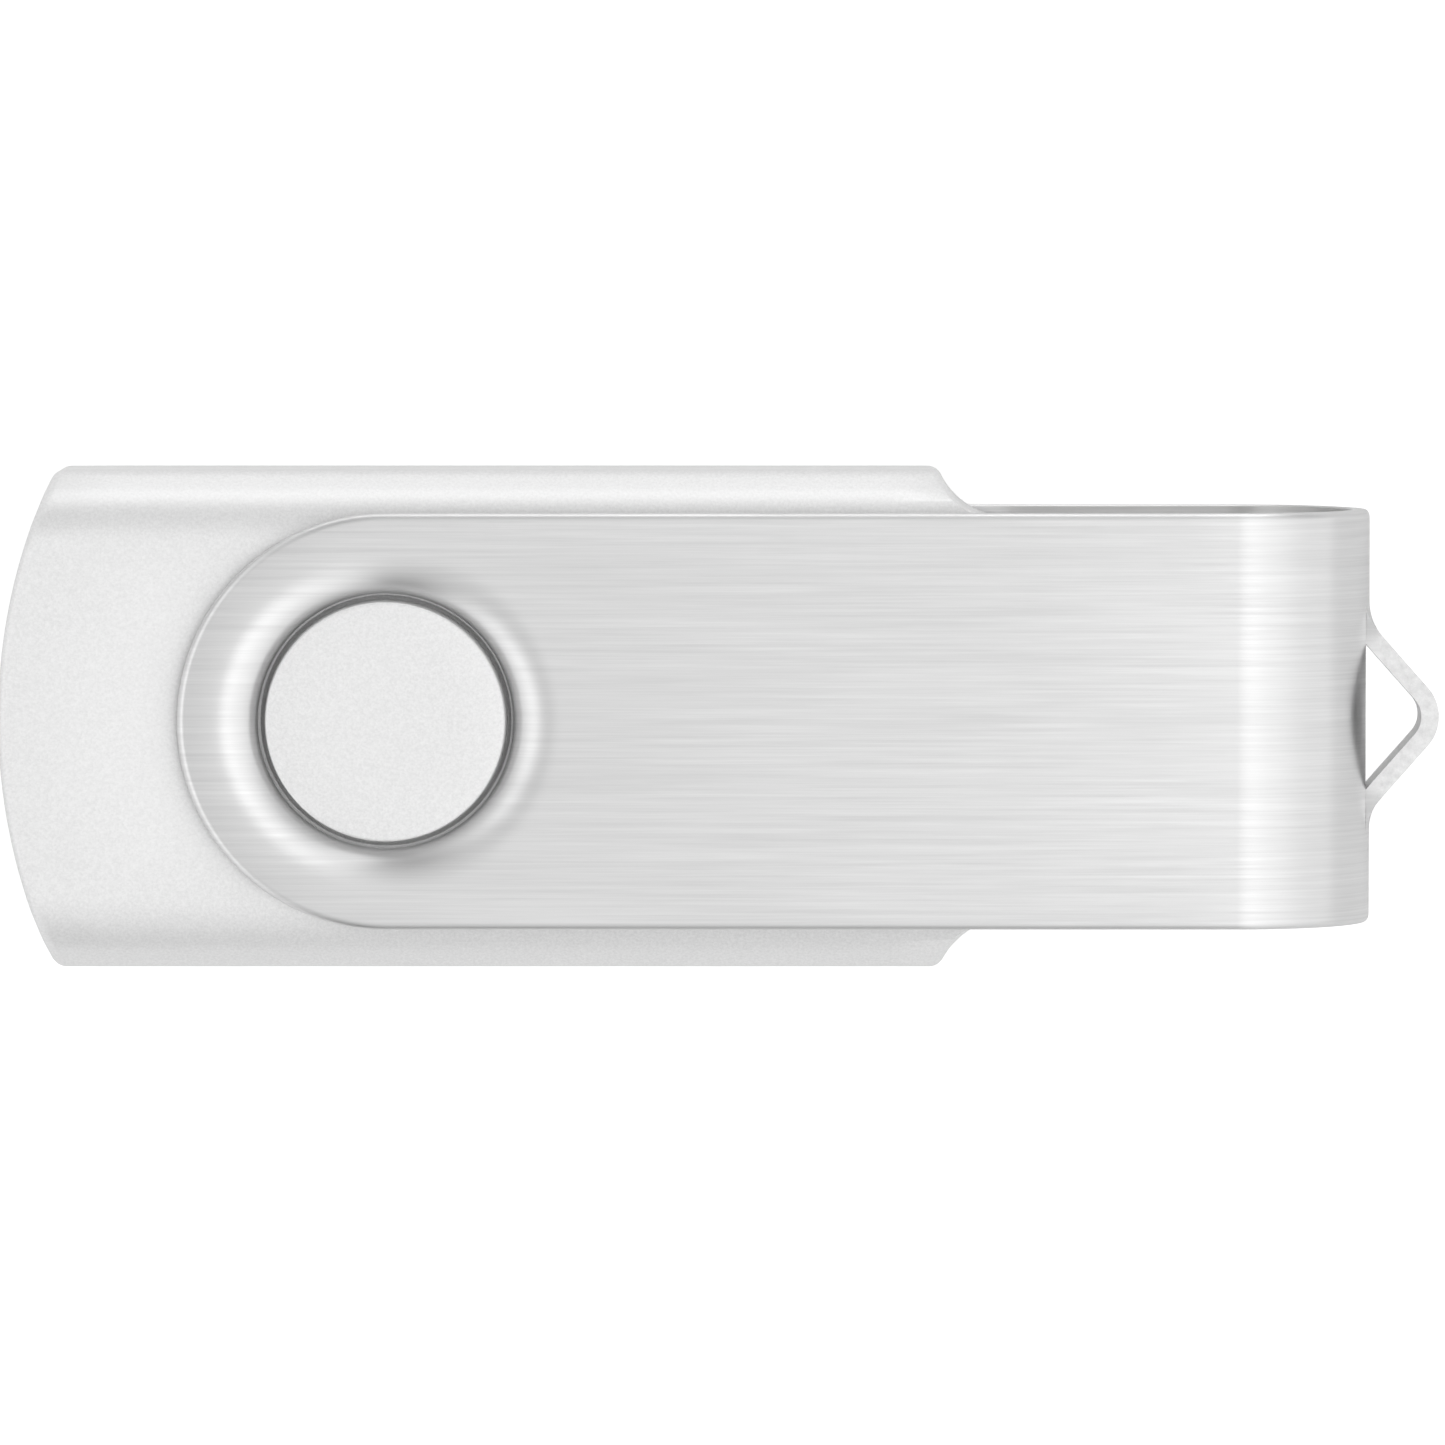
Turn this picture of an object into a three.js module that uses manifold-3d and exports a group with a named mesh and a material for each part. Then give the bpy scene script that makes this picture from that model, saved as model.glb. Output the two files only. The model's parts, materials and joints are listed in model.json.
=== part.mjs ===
// USB flash drive with a swivel cover, in millimetres, +Z up.
//
// A flat plastic body in two half shells holds a circuit board with a USB-A plug. A strip of aluminium sheet
// is bent into a U round the plug end. Each leaf of the U has a dished hole that turns on a round boss of the
// body, so the cover swings round to free the plug. A narrow strip of the same sheet is pushed out of the
// bend as an eyelet for a key ring.
//
// The drive lies on its back: +X runs from the rounded rear end to the eyelet, +Z out of the front face, and
// the origin is under the middle of the whole object, on the surface that it lies on.

import * as THREE from "three";
import { mergeVertices } from "three/addons/utils/BufferGeometryUtils.js";
import Module from "manifold-3d";

const wasm = await Module();
wasm.setup();

// ---------------------------------------------------------------- driving dimensions

const LENGTH = 57.0; // rear end of the body to the tip of the eyelet
const THICKNESS = 10.9; // over both leaves of the cover
const CLEARANCE = 0.15; // running gap between the cover and the body

const cover = {
  width: 16.4,
  sheet: 0.7,
  apexX: 25.8, // outermost line of the bend
  pivotX: -13.2, // axis of the swivel
  dishRadius: 6.9, // where the leaf starts to dip towards its hole
  dishWidth: 1.95, // the dip is a quarter of a superellipse with this width, height and power
  dishHeight: 1.25,
  dishPower: 2.5,
  dishEnd: 72.8, // degrees of that quarter before the sheet is cut off at the hole
  rimWidth: 0.3, // flat ring kept round the dip
  lipSheet: 0.55, // the sheet is drawn thinner at the lip of the hole
};

const eyelet = {
  width: 3.0, // along the thickness of the drive
  armAngle: 41.5, // degrees between an arm and the cover's edge
  apexRadius: 1.4, // of the middle of the sheet, at the tip
  rootRadius: 2.6, // of the middle of the sheet, where an arm leaves the bend
  rootX: 25.32, // middle of the sheet at the root
  rootOverlap: 0.05, // how far the strip runs on inside the bend
};

const body = {
  width: 19.7,
  wall: 1.2,
  flatHalf: 6.95, // half width of the flat face, before it rounds over
  edgeRadius: 3.0, // of that rounding
  edgeTilt: 48, // degrees that it turns, before it runs out into a straight slope
  sideRadius: 1.0, // between the slope and the upright side wall
  rearRadius: 23,
  rearCorner: 0.5,
  neckX: 11.6, // front end, where the plug comes out
  neckHalf: 7.75,
  shoulderRadius: 3.1,
  shoulderCorner: 0.6,
  cavityFrontX: 5.6,
  cavityFlatHalf: 7.2, // the cavity's long edges are a quarter of an ellipse
  cavityEdgeRise: 1.8,
  partingGap: 0.1,
  channelGap: 0.05, // between the plug and the opening that it comes out of
};

// The pivot boss on each half, over a shallow ring-shaped groove. A core hole thins it from the inside.
const boss = {
  topRadius: 4.72,
  rootRadius: 4.8,
  recess: 0.05, // below the outside of the leaf
  edge: 0.12,
  coreRadius: 3.5,
  capWall: 1.0,
};
const groove = { topRadius: 6.5, floorRadius: 6.1, floorBelowFace: 0.55 };

// A lip on the back half fits into a slot of the front half all round the cavity.
const lip = { outerInset: 0.7, innerInset: 1.15, height: 0.55, clearance: 0.1 };

// Locating pins and their sockets, and the posts that clamp the board.
const locator = {
  x: [-22.0, 2.5],
  y: 7.9,
  postRadius: 0.95,
  pinRadius: 0.45,
  pinLength: 1.45,
  boreRadius: 0.5,
  boreSpare: 0.2, // depth of a socket past the end of its pin
};
const boardPost = { places: [[-23.8, 5.9], [-0.2, 6.1]], radius: 0.6, clearance: 0.02 };

const plug = {
  width: 12.0,
  height: 4.5,
  wall: 0.3,
  corner: 0.5,
  rearX: 5.2,
  tipX: 23.6,
  windowLength: 2.0,
  windowWidth: 2.5,
  windowFromTip: 5.16,
  windowY: 2.9,
  tabLength: 3.8,
  tabHeight: 2.0,
  tabOverlap: 0.5,
};

const tongue = { rearX: 5.5, tipX: 23.1, topZ: -0.05, clearance: 0.05 };
const contact = {
  width: 1.0,
  sheet: 0.2,
  topZ: -0.03,
  tailTopZ: -0.48,
  tailX: 2.4,
  stepBehindTongue: 0.3,
  stepLength: 0.7,
  clearance: 0.04,
};
const contactRows = [
  { name: "contact_power", y: 3.5, tipX: 22.1 },
  { name: "contact_data_minus", y: 1.0, tipX: 21.1 },
  { name: "contact_data_plus", y: -1.0, tipX: 21.1 },
  { name: "contact_ground", y: -3.5, tipX: 22.1 },
];

const board = {
  rearX: -25.2,
  frontX: 4.9,
  half: 6.8,
  stepX: 0.9, // the board is narrower in front of this
  frontHalf: 5.6,
  topZ: -0.7,
  thickness: 1.0,
  corner: 0.6,
};

// What stands on the board. Each stands on its own z = 0.
const memoryChip = {
  length: 18.4,
  width: 12.0,
  height: 1.1,
  standOff: 0.1,
  leads: 24,
  pitch: 0.5,
  leadWidth: 0.22,
  reach: 0.8,
  fourSides: false,
};
const controllerChip = {
  ...memoryChip,
  length: 7.0,
  width: 7.0,
  height: 1.5,
  leads: 12,
  reach: 1.0,
  fourSides: true,
};

// A gull-wing lead. The last four are shares of its reach from the package's side.
const lead = { sheet: 0.15, root: 0.2, upperKnee: 0.35, lowerKnee: 0.25, footTop: 0.6, footHeel: 0.5 };

const crystalTray = { length: 5.0, width: 3.2, height: 0.75 };
const crystalLid = { length: 4.4, width: 2.6, height: 1.1, overlap: 0.05 };
const capacitor = { length: 1.6, width: 0.8, height: 0.8, end: 0.3 };
const resistor = { length: 1.6, width: 0.8, height: 0.45, end: 0.3 };
const lamp = { length: 1.6, width: 0.8, height: 0.6, end: 0.3 };
const PASSIVE_SHY = 0.04; // how far a passive's middle lies inside its metal ends

// Worked out from the sizes above. Heights are measured from the parting plane in the middle of the drive.
const half = THICKNESS / 2;
const rearX = -LENGTH / 2;
const eyeletTipX = LENGTH / 2;
const bendX = cover.apexX - half; // the bend is a half circle
const leafInside = half - cover.sheet;
const faceZ = leafInside - CLEARANCE;
const bodyHalf = body.width / 2;
const partingZ = body.partingGap / 2;
const boardBottomZ = board.topZ - board.thickness;

const DEG = Math.PI / 180;
const ROUND = 60; // segments of a large circle
const SMALL_ROUND = 12; // segments of a small one

// Straight stretches that each curve is made of.
const STEPS = {
  bend: 24,
  dish: 6,
  shoulder: 8,
  corner: 4,
  rearCorner: 3,
  rear: 10,
  longEdge: 6,
  eyeletRoot: 6,
  eyeletTip: 7,
};

const THROUGH = 40; // longer than anything that a cutter passes through
const PAST = 1; // how far a cutter runs past the face that it opens
const SINK = 0.1; // how far a post runs into the wall that it stands on
const MERGE = 1e-4; // corners nearer than this are one

// ---------------------------------------------------------------- outlines and solids

function point(x, y) {
  return new THREE.Vector2(x, y);
}

// Points along an arc of a circle or an upright ellipse, with both ends.
function arc(x, y, radius, from, to, steps, radiusY = radius) {
  return Array.from({ length: steps + 1 }, (_, i) => {
    const angle = (from + ((to - from) * i) / steps) * DEG;
    return point(x + radius * Math.cos(angle), y + radiusY * Math.sin(angle));
  });
}

// Half an outline, closed by its mirror image across y = 0 or x = 0.
function mirrored(points, axis = "y") {
  const flip = (p) => (axis === "y" ? point(p.x, -p.y) : point(-p.x, p.y));
  const other = points.filter((p) => Math.abs(p[axis]) > MERGE).map(flip);
  return [...points, ...other.reverse()];
}

// A closed geometry as a solid that can be joined and cut.
function solidOf(geometry) {
  const bare = geometry.clone();
  bare.deleteAttribute("normal");
  bare.deleteAttribute("uv");
  const merged = mergeVertices(bare, MERGE);
  const corners = merged.index.array;
  const kept = [];
  for (let i = 0; i < corners.length; i += 3) {
    const [a, b, c] = corners.slice(i, i + 3);
    if (a !== b && b !== c && c !== a) kept.push(a, b, c);
  }
  return new wasm.Manifold(
    new wasm.Mesh({
      numProp: 3,
      vertProperties: merged.attributes.position.array,
      triVerts: new Uint32Array(kept),
    }),
  );
}

function geometryOf(solid) {
  const mesh = solid.getMesh();
  const geometry = new THREE.BufferGeometry();
  geometry.setAttribute("position", new THREE.BufferAttribute(mesh.vertProperties, 3));
  geometry.setIndex(new THREE.BufferAttribute(mesh.triVerts, 1));
  geometry.computeVertexNormals();
  return geometry;
}

// Directions of an outline's x and y, and of its extrusion, for an extrusion along each axis.
const X = new THREE.Vector3(1, 0, 0);
const Y = new THREE.Vector3(0, 1, 0);
const Z = new THREE.Vector3(0, 0, 1);
const BASES = {
  x: new THREE.Matrix4().makeBasis(Y, Z, X),
  y: new THREE.Matrix4().makeBasis(X, Z, Y.clone().negate()),
  z: new THREE.Matrix4(),
};

// An outline in (y, z), (x, z) or (x, y), extruded along x, y or z.
function prism(points, axis, from, to) {
  const depth = to - from;
  const geometry = new THREE.ExtrudeGeometry(new THREE.Shape(points), { depth, bevelEnabled: false });
  geometry.translate(0, 0, axis === "y" ? -to : from);
  return solidOf(geometry.applyMatrix4(BASES[axis]));
}

function box(x0, x1, y0, y1, z0, z1) {
  const geometry = new THREE.BoxGeometry(x1 - x0, y1 - y0, z1 - z0);
  return solidOf(geometry.translate((x0 + x1) / 2, (y0 + y1) / 2, (z0 + z1) / 2));
}

// A round post along z.
function post(x, y, radius, z0, z1, segments = SMALL_ROUND) {
  const geometry = new THREE.CylinderGeometry(radius, radius, z1 - z0, segments);
  return solidOf(geometry.rotateX(Math.PI / 2).translate(x, y, (z0 + z1) / 2));
}

// A profile of (radius, z) points turned about the pivot's axis.
function turned(profile) {
  const geometry = new THREE.LatheGeometry(profile, ROUND);
  return solidOf(geometry.rotateX(Math.PI / 2).translate(cover.pivotX, 0, 0));
}

function union(solids) {
  return solids.reduce((all, next) => all.add(next));
}

function cutAll(solid, cutters) {
  return cutters.reduce((rest, cutter) => rest.subtract(cutter), solid);
}

// ---------------------------------------------------------------- plastic body

// The body's outline from above. Its sides run between two hollow shoulders and a rounded rear.
function bodyOutline() {
  const shoulderY = body.neckHalf + body.shoulderRadius;
  const cornerY = bodyHalf - body.shoulderCorner;
  const between = body.shoulderRadius + body.shoulderCorner;
  const cornerX = body.neckX - Math.sqrt(between ** 2 - (shoulderY - cornerY) ** 2);
  const turn = Math.atan2(shoulderY - cornerY, body.neckX - cornerX) / DEG;
  return mirrored([
    ...arc(body.neckX, shoulderY, body.shoulderRadius, -90, turn - 180, STEPS.shoulder),
    ...arc(cornerX, cornerY, body.shoulderCorner, turn, 90, STEPS.corner),
    ...rearOutline(0),
  ]);
}

// The rear end alone, from the side wall round to the middle, moved inwards by inset.
function rearOutline(inset) {
  const corner = body.rearCorner;
  const radius = body.rearRadius - inset;
  const centreX = rearX + body.rearRadius;
  const cornerY = bodyHalf - inset - corner;
  const cornerX = centreX - Math.sqrt((radius - corner) ** 2 - cornerY ** 2);
  const turn = 90 + Math.atan2(centreX - cornerX, cornerY) / DEG;
  return [
    ...arc(cornerX, cornerY, corner, 90, turn, STEPS.rearCorner),
    ...arc(centreX, 0, radius, turn, 180, STEPS.rear).slice(1),
  ];
}

// The cavity's outline from above, with its walls moved inwards by inset from the outside of the body.
function cavityOutline(inset) {
  const frontX = body.cavityFrontX + body.wall - inset;
  return mirrored([point(frontX, bodyHalf - inset), ...rearOutline(inset)]);
}

// Half the body's cross-section, above the plane z = base: an upright side, a round corner, a straight slope,
// a rounding and the flat face.
function bodySection(base) {
  const turn = 90 - body.edgeTilt; // of the direction that the slope faces, above level
  const slopeTop = arc(body.flatHalf, faceZ - body.edgeRadius, body.edgeRadius, turn, 90, STEPS.longEdge);
  const cornerY = bodyHalf - body.sideRadius;
  const slopeFoot = cornerY + body.sideRadius * Math.cos(turn * DEG);
  const slopeDrop = (slopeFoot - slopeTop[0].x) * Math.tan(body.edgeTilt * DEG);
  const cornerZ = slopeTop[0].y - slopeDrop - body.sideRadius * Math.sin(turn * DEG);
  const corner = arc(cornerY, cornerZ, body.sideRadius, 0, turn, STEPS.corner);
  return mirrored([point(bodyHalf, base), ...corner, ...slopeTop], "x");
}

// The cavity's cross-section, above the plane z = base.
function cavitySection(base) {
  const wallY = bodyHalf - body.wall;
  const across = wallY - body.cavityFlatHalf;
  const up = body.cavityEdgeRise;
  const edge = arc(body.cavityFlatHalf, faceZ - body.wall - up, across, 0, 90, STEPS.longEdge, up);
  return mirrored([point(wallY, base), ...edge], "x");
}

// The ring-shaped wall between two cavity outlines.
function cavityRing(outerInset, innerInset, z0, z1) {
  const inner = prism(cavityOutline(innerInset), "z", z0 - PAST, z1 + PAST);
  return prism(cavityOutline(outerInset), "z", z0, z1).subtract(inner);
}

// One half shell, lying with the parting plane at z = 0 and its boss up. The front half carries the pins, and
// the back half the sockets and the lip that closes the joint.
function caseHalf(isFront) {
  const outside = prism(bodySection(partingZ), "x", rearX - PAST, body.neckX + PAST);
  const outline = prism(bodyOutline(), "z", -THROUGH, THROUGH);
  const cavity = prism(cavitySection(-PAST), "x", rearX, body.neckX).intersect(
    prism(cavityOutline(body.wall), "z", -THROUGH, THROUGH),
  );
  const grooveZ = faceZ - groove.floorBelowFace;
  const grooveCutter = turned([
    point(0, grooveZ),
    point(groove.floorRadius, grooveZ),
    point(groove.topRadius, faceZ),
    point(groove.topRadius, half),
    point(0, half),
  ]);
  const bossTop = half - boss.recess;
  const pivotBoss = turned([
    point(0, grooveZ - SINK),
    point(boss.rootRadius, grooveZ - SINK),
    point(boss.rootRadius, grooveZ),
    point(boss.topRadius, bossTop - boss.edge),
    point(boss.topRadius - boss.edge, bossTop),
    point(0, bossTop),
  ]);
  const bossCore = post(cover.pivotX, 0, boss.coreRadius, 0, bossTop - boss.capWall, ROUND);
  const channelHalf = plug.width / 2 + body.channelGap;
  const plugChannel = box(
    body.cavityFrontX - PAST,
    body.neckX + PAST,
    -channelHalf,
    channelHalf,
    -PAST,
    plug.height / 2 + body.channelGap,
  );

  const shell = cutAll(outside.intersect(outline), [cavity, grooveCutter]).add(pivotBoss);
  const postTopZ = faceZ - body.wall + SINK;
  const posts = [];
  const cuts = [bossCore, plugChannel];

  const boardFace = isFront ? board.topZ : -boardBottomZ;
  for (const [x, y] of boardPost.places) {
    for (const side of [-1, 1]) {
      posts.push(post(x, side * y, boardPost.radius, boardFace + boardPost.clearance, postTopZ));
    }
  }
  for (const x of locator.x) {
    for (const side of [-1, 1]) {
      posts.push(post(x, side * locator.y, locator.postRadius, partingZ, postTopZ));
      if (isFront) {
        posts.push(post(x, side * locator.y, locator.pinRadius, -locator.pinLength, partingZ + SINK));
      } else {
        const deep = locator.pinLength + locator.boreSpare;
        cuts.push(post(x, side * locator.y, locator.boreRadius, -PAST, deep));
      }
    }
  }

  const room = lip.clearance;
  if (isFront) {
    cuts.push(cavityRing(lip.outerInset - room, lip.innerInset + room, -PAST, lip.height + room));
  } else {
    posts.push(cavityRing(lip.outerInset, lip.innerInset, -lip.height, partingZ + SINK));
  }
  return cutAll(union([shell, ...posts]), cuts);
}

// ---------------------------------------------------------------- swivel cover

// The dished ring round the hole of the upper leaf.
function dish() {
  const outer = [];
  const inner = [];
  const { dishWidth, dishHeight, dishPower } = cover;
  for (let i = 0; i <= STEPS.dish; i++) {
    const share = i / STEPS.dish;
    const angle = cover.dishEnd * DEG * share;
    const u = Math.sin(angle) ** (2 / dishPower);
    const v = Math.cos(angle) ** (2 / dishPower);
    const radius = cover.dishRadius - dishWidth * u;
    const z = half - dishHeight * (1 - v);
    const normal = point(u ** (dishPower - 1) / dishWidth, v ** (dishPower - 1) / dishHeight).normalize();
    const sheet = cover.sheet + (cover.lipSheet - cover.sheet) * share;
    outer.push(point(radius, z));
    inner.push(point(radius + sheet * normal.x, z - sheet * normal.y));
  }
  const rim = cover.dishRadius + cover.rimWidth;
  const profile = [point(rim, leafInside), point(rim, half), ...outer, ...inner.reverse()];
  return turned([...profile, profile[0]]);
}

// The eyelet strip, seen from the front: two arms that leave the bend and meet in a round tip.
function eyeletStrip() {
  const turn = eyelet.armAngle;
  const sin = Math.sin(turn * DEG);
  const cos = Math.cos(turn * DEG);
  const tipCentreX = eyeletTipX - cover.sheet / 2 - eyelet.apexRadius;
  const armEnd = point(tipCentreX + eyelet.apexRadius * cos, -eyelet.apexRadius * sin);
  const armStartX = eyelet.rootX + eyelet.rootRadius * (1 - cos);
  const armStartY = armEnd.y - ((armEnd.x - armStartX) / sin) * cos;
  const rootY = armStartY - eyelet.rootRadius * sin;
  const rootCentreX = eyelet.rootX + eyelet.rootRadius;

  // One side of the strip, at a distance outwards from the middle of the sheet.
  const side = (out) => [
    point(eyelet.rootX + out, rootY - eyelet.rootOverlap),
    ...arc(rootCentreX, rootY, eyelet.rootRadius - out, 180, 180 - turn, STEPS.eyeletRoot),
    ...arc(tipCentreX, 0, eyelet.apexRadius + out, -turn, 0, STEPS.eyeletTip),
  ];
  const whole = (points) => [...points, ...points.slice(0, -1).map((p) => point(p.x, -p.y)).reverse()];
  const outline = [...whole(side(cover.sheet / 2)), ...whole(side(-cover.sheet / 2)).reverse()];
  return { strip: prism(outline, "z", -eyelet.width / 2, eyelet.width / 2), rootY };
}

function swivelCover() {
  const openX = cover.pivotX - cover.width;
  const strip = [
    point(openX, half),
    ...arc(bendX, 0, half, 90, -90, STEPS.bend),
    point(openX, -half),
    point(openX, -leafInside),
    ...arc(bendX, 0, leafInside, -90, 90, STEPS.bend),
    point(openX, leafInside),
  ];
  const plan = mirrored([
    point(cover.apexX + PAST, cover.width / 2),
    ...arc(cover.pivotX, 0, cover.width / 2, 90, 180, ROUND / 4),
  ]);
  const sheet = prism(strip, "y", -cover.width, cover.width).intersect(prism(plan, "z", -THROUGH, THROUGH));
  const opening = post(cover.pivotX, 0, cover.dishRadius, -THROUGH, THROUGH, ROUND);
  const ring = dish();
  const { strip: loop, rootY } = eyeletStrip();
  const slot = box(bendX, cover.apexX + PAST, rootY, -rootY, -eyelet.width / 2, eyelet.width / 2);
  return union([cutAll(sheet, [opening, slot]), ring, ring.mirror([0, 0, 1]), loop]);
}

// ---------------------------------------------------------------- plug

// A rectangle with rounded corners, in (y, z).
function roundedRectangle(width, height, corner) {
  const y = width / 2 - corner;
  const z = height / 2 - corner;
  return [[y, z, 0], [-y, z, 90], [-y, -z, 180], [y, -z, 270]].flatMap(([cy, cz, from]) =>
    arc(cy, cz, corner, from, from + 90, STEPS.corner),
  );
}

function plugShell() {
  const outer = roundedRectangle(plug.width, plug.height, plug.corner);
  const innerWidth = plug.width - 2 * plug.wall;
  const innerHeight = plug.height - 2 * plug.wall;
  const inner = roundedRectangle(innerWidth, innerHeight, plug.corner - plug.wall);
  const bore = prism(inner, "x", plug.rearX - PAST, plug.tipX + PAST);
  const tube = prism(outer, "x", plug.rearX, plug.tipX).subtract(bore);
  const windowX = plug.tipX - plug.windowFromTip;
  const windows = [-1, 1].map((side) =>
    box(
      windowX - plug.windowLength,
      windowX,
      side * plug.windowY - plug.windowWidth / 2,
      side * plug.windowY + plug.windowWidth / 2,
      -plug.height,
      plug.height,
    ),
  );
  const tabs = [-1, 1].map((side) => {
    const outerY = (side * plug.width) / 2;
    const innerY = outerY - side * plug.wall;
    const tabFloor = -plug.height / 2 + plug.corner;
    return box(
      plug.rearX - plug.tabLength,
      plug.rearX + plug.tabOverlap,
      Math.min(outerY, innerY),
      Math.max(outerY, innerY),
      tabFloor,
      tabFloor + plug.tabHeight,
    );
  });
  return union([cutAll(tube, windows), ...tabs]);
}

// The plastic inside the plug: a block that fills its rear and a tongue that carries the contacts.
function plugInsulator() {
  const side = plug.width / 2 - plug.wall - tongue.clearance;
  const deep = plug.height / 2 - plug.wall - tongue.clearance;
  const block = box(tongue.rearX, body.neckX, -side, side, -deep, deep);
  const blade = box(body.neckX - PAST, tongue.tipX, -side, side, -deep, tongue.topZ);
  const slots = contactRows.map(({ y, tipX }) =>
    box(
      tongue.rearX - PAST,
      tipX + contact.clearance,
      y - contact.width / 2 - contact.clearance,
      y + contact.width / 2 + contact.clearance,
      contact.topZ - contact.sheet - contact.clearance,
      contact.topZ + contact.clearance,
    ),
  );
  return cutAll(block.add(blade), slots);
}

// A contact strip, which steps down behind the plug to the surface of the board.
function contactStrip({ y, tipX }) {
  const stepX = tongue.rearX - contact.stepBehindTongue;
  const kneeX = stepX - contact.stepLength;
  const top = [
    point(tipX, contact.topZ),
    point(stepX, contact.topZ),
    point(kneeX, contact.tailTopZ),
    point(contact.tailX, contact.tailTopZ),
  ];
  const under = top.map((p) => point(p.x, p.y - contact.sheet)).reverse();
  return prism([...top, ...under], "y", y - contact.width / 2, y + contact.width / 2);
}

// ---------------------------------------------------------------- circuit board

function circuitBoard() {
  const corner = board.corner;
  const outline = mirrored([
    point(board.frontX, board.frontHalf),
    point(board.stepX, board.frontHalf),
    point(board.stepX, board.half),
    ...arc(board.rearX + corner, board.half - corner, corner, 90, 180, STEPS.corner),
  ]);
  return prism(outline, "z", boardBottomZ, board.topZ);
}

// A chip package with gull-wing leads along its two ends, or on all four sides.
function chip({ length, width, height, standOff, leads, pitch, leadWidth, reach, fourSides }) {
  const leadZ = standOff + (height - standOff) / 2;
  const upperZ = leadZ + lead.sheet / 2;
  const lowerZ = leadZ - lead.sheet / 2;
  const leadOutline = (edge) => [
    point(edge - lead.root, upperZ),
    point(edge + reach * lead.upperKnee, upperZ),
    point(edge + reach * lead.footTop, lead.sheet),
    point(edge + reach, lead.sheet),
    point(edge + reach, 0),
    point(edge + reach * lead.footHeel, 0),
    point(edge + reach * lead.lowerKnee, lowerZ),
    point(edge - lead.root, lowerZ),
  ];
  const row = (edge) =>
    Array.from({ length: leads }, (_, i) => {
      const y = (i - (leads - 1) / 2) * pitch;
      return prism(leadOutline(edge), "y", y - leadWidth / 2, y + leadWidth / 2);
    });
  const solids = [box(-length / 2, length / 2, -width / 2, width / 2, standOff, height)];
  for (const turn of [0, 180]) {
    solids.push(...row(length / 2).map((one) => one.rotate([0, 0, turn])));
    if (fourSides) solids.push(...row(width / 2).map((one) => one.rotate([0, 0, turn + 90])));
  }
  return union(solids);
}

// A chip capacitor, resistor or lamp: a block between two slightly larger metal ends.
function chipPassive({ length, width, height, end }) {
  const shy = PASSIVE_SHY;
  const middle = box(-length / 2, length / 2, -width / 2 + shy, width / 2 - shy, shy, height - shy);
  const ends = [-1, 1].map((side) => {
    const outer = (side * length) / 2;
    const inner = outer - side * end;
    return box(Math.min(outer, inner), Math.max(outer, inner), -width / 2, width / 2, 0, height);
  });
  return union([middle, ...ends]);
}

// The crystal: a flat ceramic tray under a smaller metal lid.
function crystal() {
  const slab = ({ length, width, height }, from) =>
    box(-length / 2, length / 2, -width / 2, width / 2, from, height);
  return slab(crystalTray, 0).add(slab(crystalLid, crystalTray.height - crystalLid.overlap));
}

// ---------------------------------------------------------------- materials

function finish(color, roughness, metalness) {
  return new THREE.MeshStandardMaterial({ color, roughness, metalness });
}

const silverPaint = finish(0xd9d9d9, 0.45, 0.35);
const brushedAluminium = finish(0xcfcfcf, 0.35, 1.0);
const platedSteel = finish(0xc4c4c0, 0.22, 1.0);
const blackPlastic = finish(0x17181a, 0.5, 0.0);
const goldPlate = finish(0xd8a94a, 0.25, 1.0);
const greenBoard = finish(0x1d5a34, 0.4, 0.0);
const chipResin = finish(0x1c1c1e, 0.55, 0.0);
const crystalMetal = finish(0xb9b9b2, 0.3, 0.9);
const lampLens = finish(0xdfe8c0, 0.2, 0.0);
const ceramicBrown = finish(0x9c7a55, 0.5, 0.0);
const resistorBlack = finish(0x232528, 0.5, 0.0);

// ---------------------------------------------------------------- assembly

const part = new THREE.Group();
const drive = new THREE.Group(); // its z = 0 is the parting plane
drive.position.z = half;
part.add(drive);

function place(name, solid, material, parent = drive) {
  const mesh = new THREE.Mesh(geometryOf(solid), material);
  mesh.name = name;
  parent.add(mesh);
  return mesh;
}

place("case_front", caseHalf(true), silverPaint);
place("case_back", caseHalf(false), silverPaint).rotation.x = Math.PI;
place("swivel_cover", swivelCover(), brushedAluminium);

place("plug_shell", plugShell(), platedSteel);
place("plug_insulator", plugInsulator(), blackPlastic);
for (const row of contactRows) place(row.name, contactStrip(row), goldPlate);

place("circuit_board", circuitBoard(), greenBoard);

// The two sides of the board and what stands just clear of each: name, shape, material, x and y.
const SEAT = 0.02;
const topSide = new THREE.Group();
topSide.position.z = board.topZ + SEAT;
const underside = new THREE.Group();
underside.position.z = boardBottomZ - SEAT;
underside.rotation.x = Math.PI;
drive.add(topSide, underside);

const onTop = [
  ["flash_memory", chip(memoryChip), chipResin, -11.2, 0],
  ["status_lamp", chipPassive(lamp), lampLens, -24.0, 0],
  ["resistor_lamp", chipPassive(resistor), resistorBlack, -22.6, -3.2],
  ["resistor_data_minus", chipPassive(resistor), resistorBlack, 0.6, 1.0],
  ["resistor_data_plus", chipPassive(resistor), resistorBlack, 0.6, -1.0],
  ["capacitor_power", chipPassive(capacitor), ceramicBrown, 0.6, 3.6],
  ["capacitor_memory", chipPassive(capacitor), ceramicBrown, -22.6, 3.2],
];
const underneath = [
  ["controller", chip(controllerChip), chipResin, -5.5, 0],
  ["crystal", crystal(), crystalMetal, -14.6, -3.2],
  ["capacitor_core", chipPassive(capacitor), ceramicBrown, -12.8, 1.6],
  ["capacitor_crystal_in", chipPassive(capacitor), ceramicBrown, -18.6, -4.2],
  ["capacitor_crystal_out", chipPassive(capacitor), ceramicBrown, -18.6, -2.2],
  ["resistor_reset", chipPassive(resistor), resistorBlack, -12.8, 3.8],
];
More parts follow.
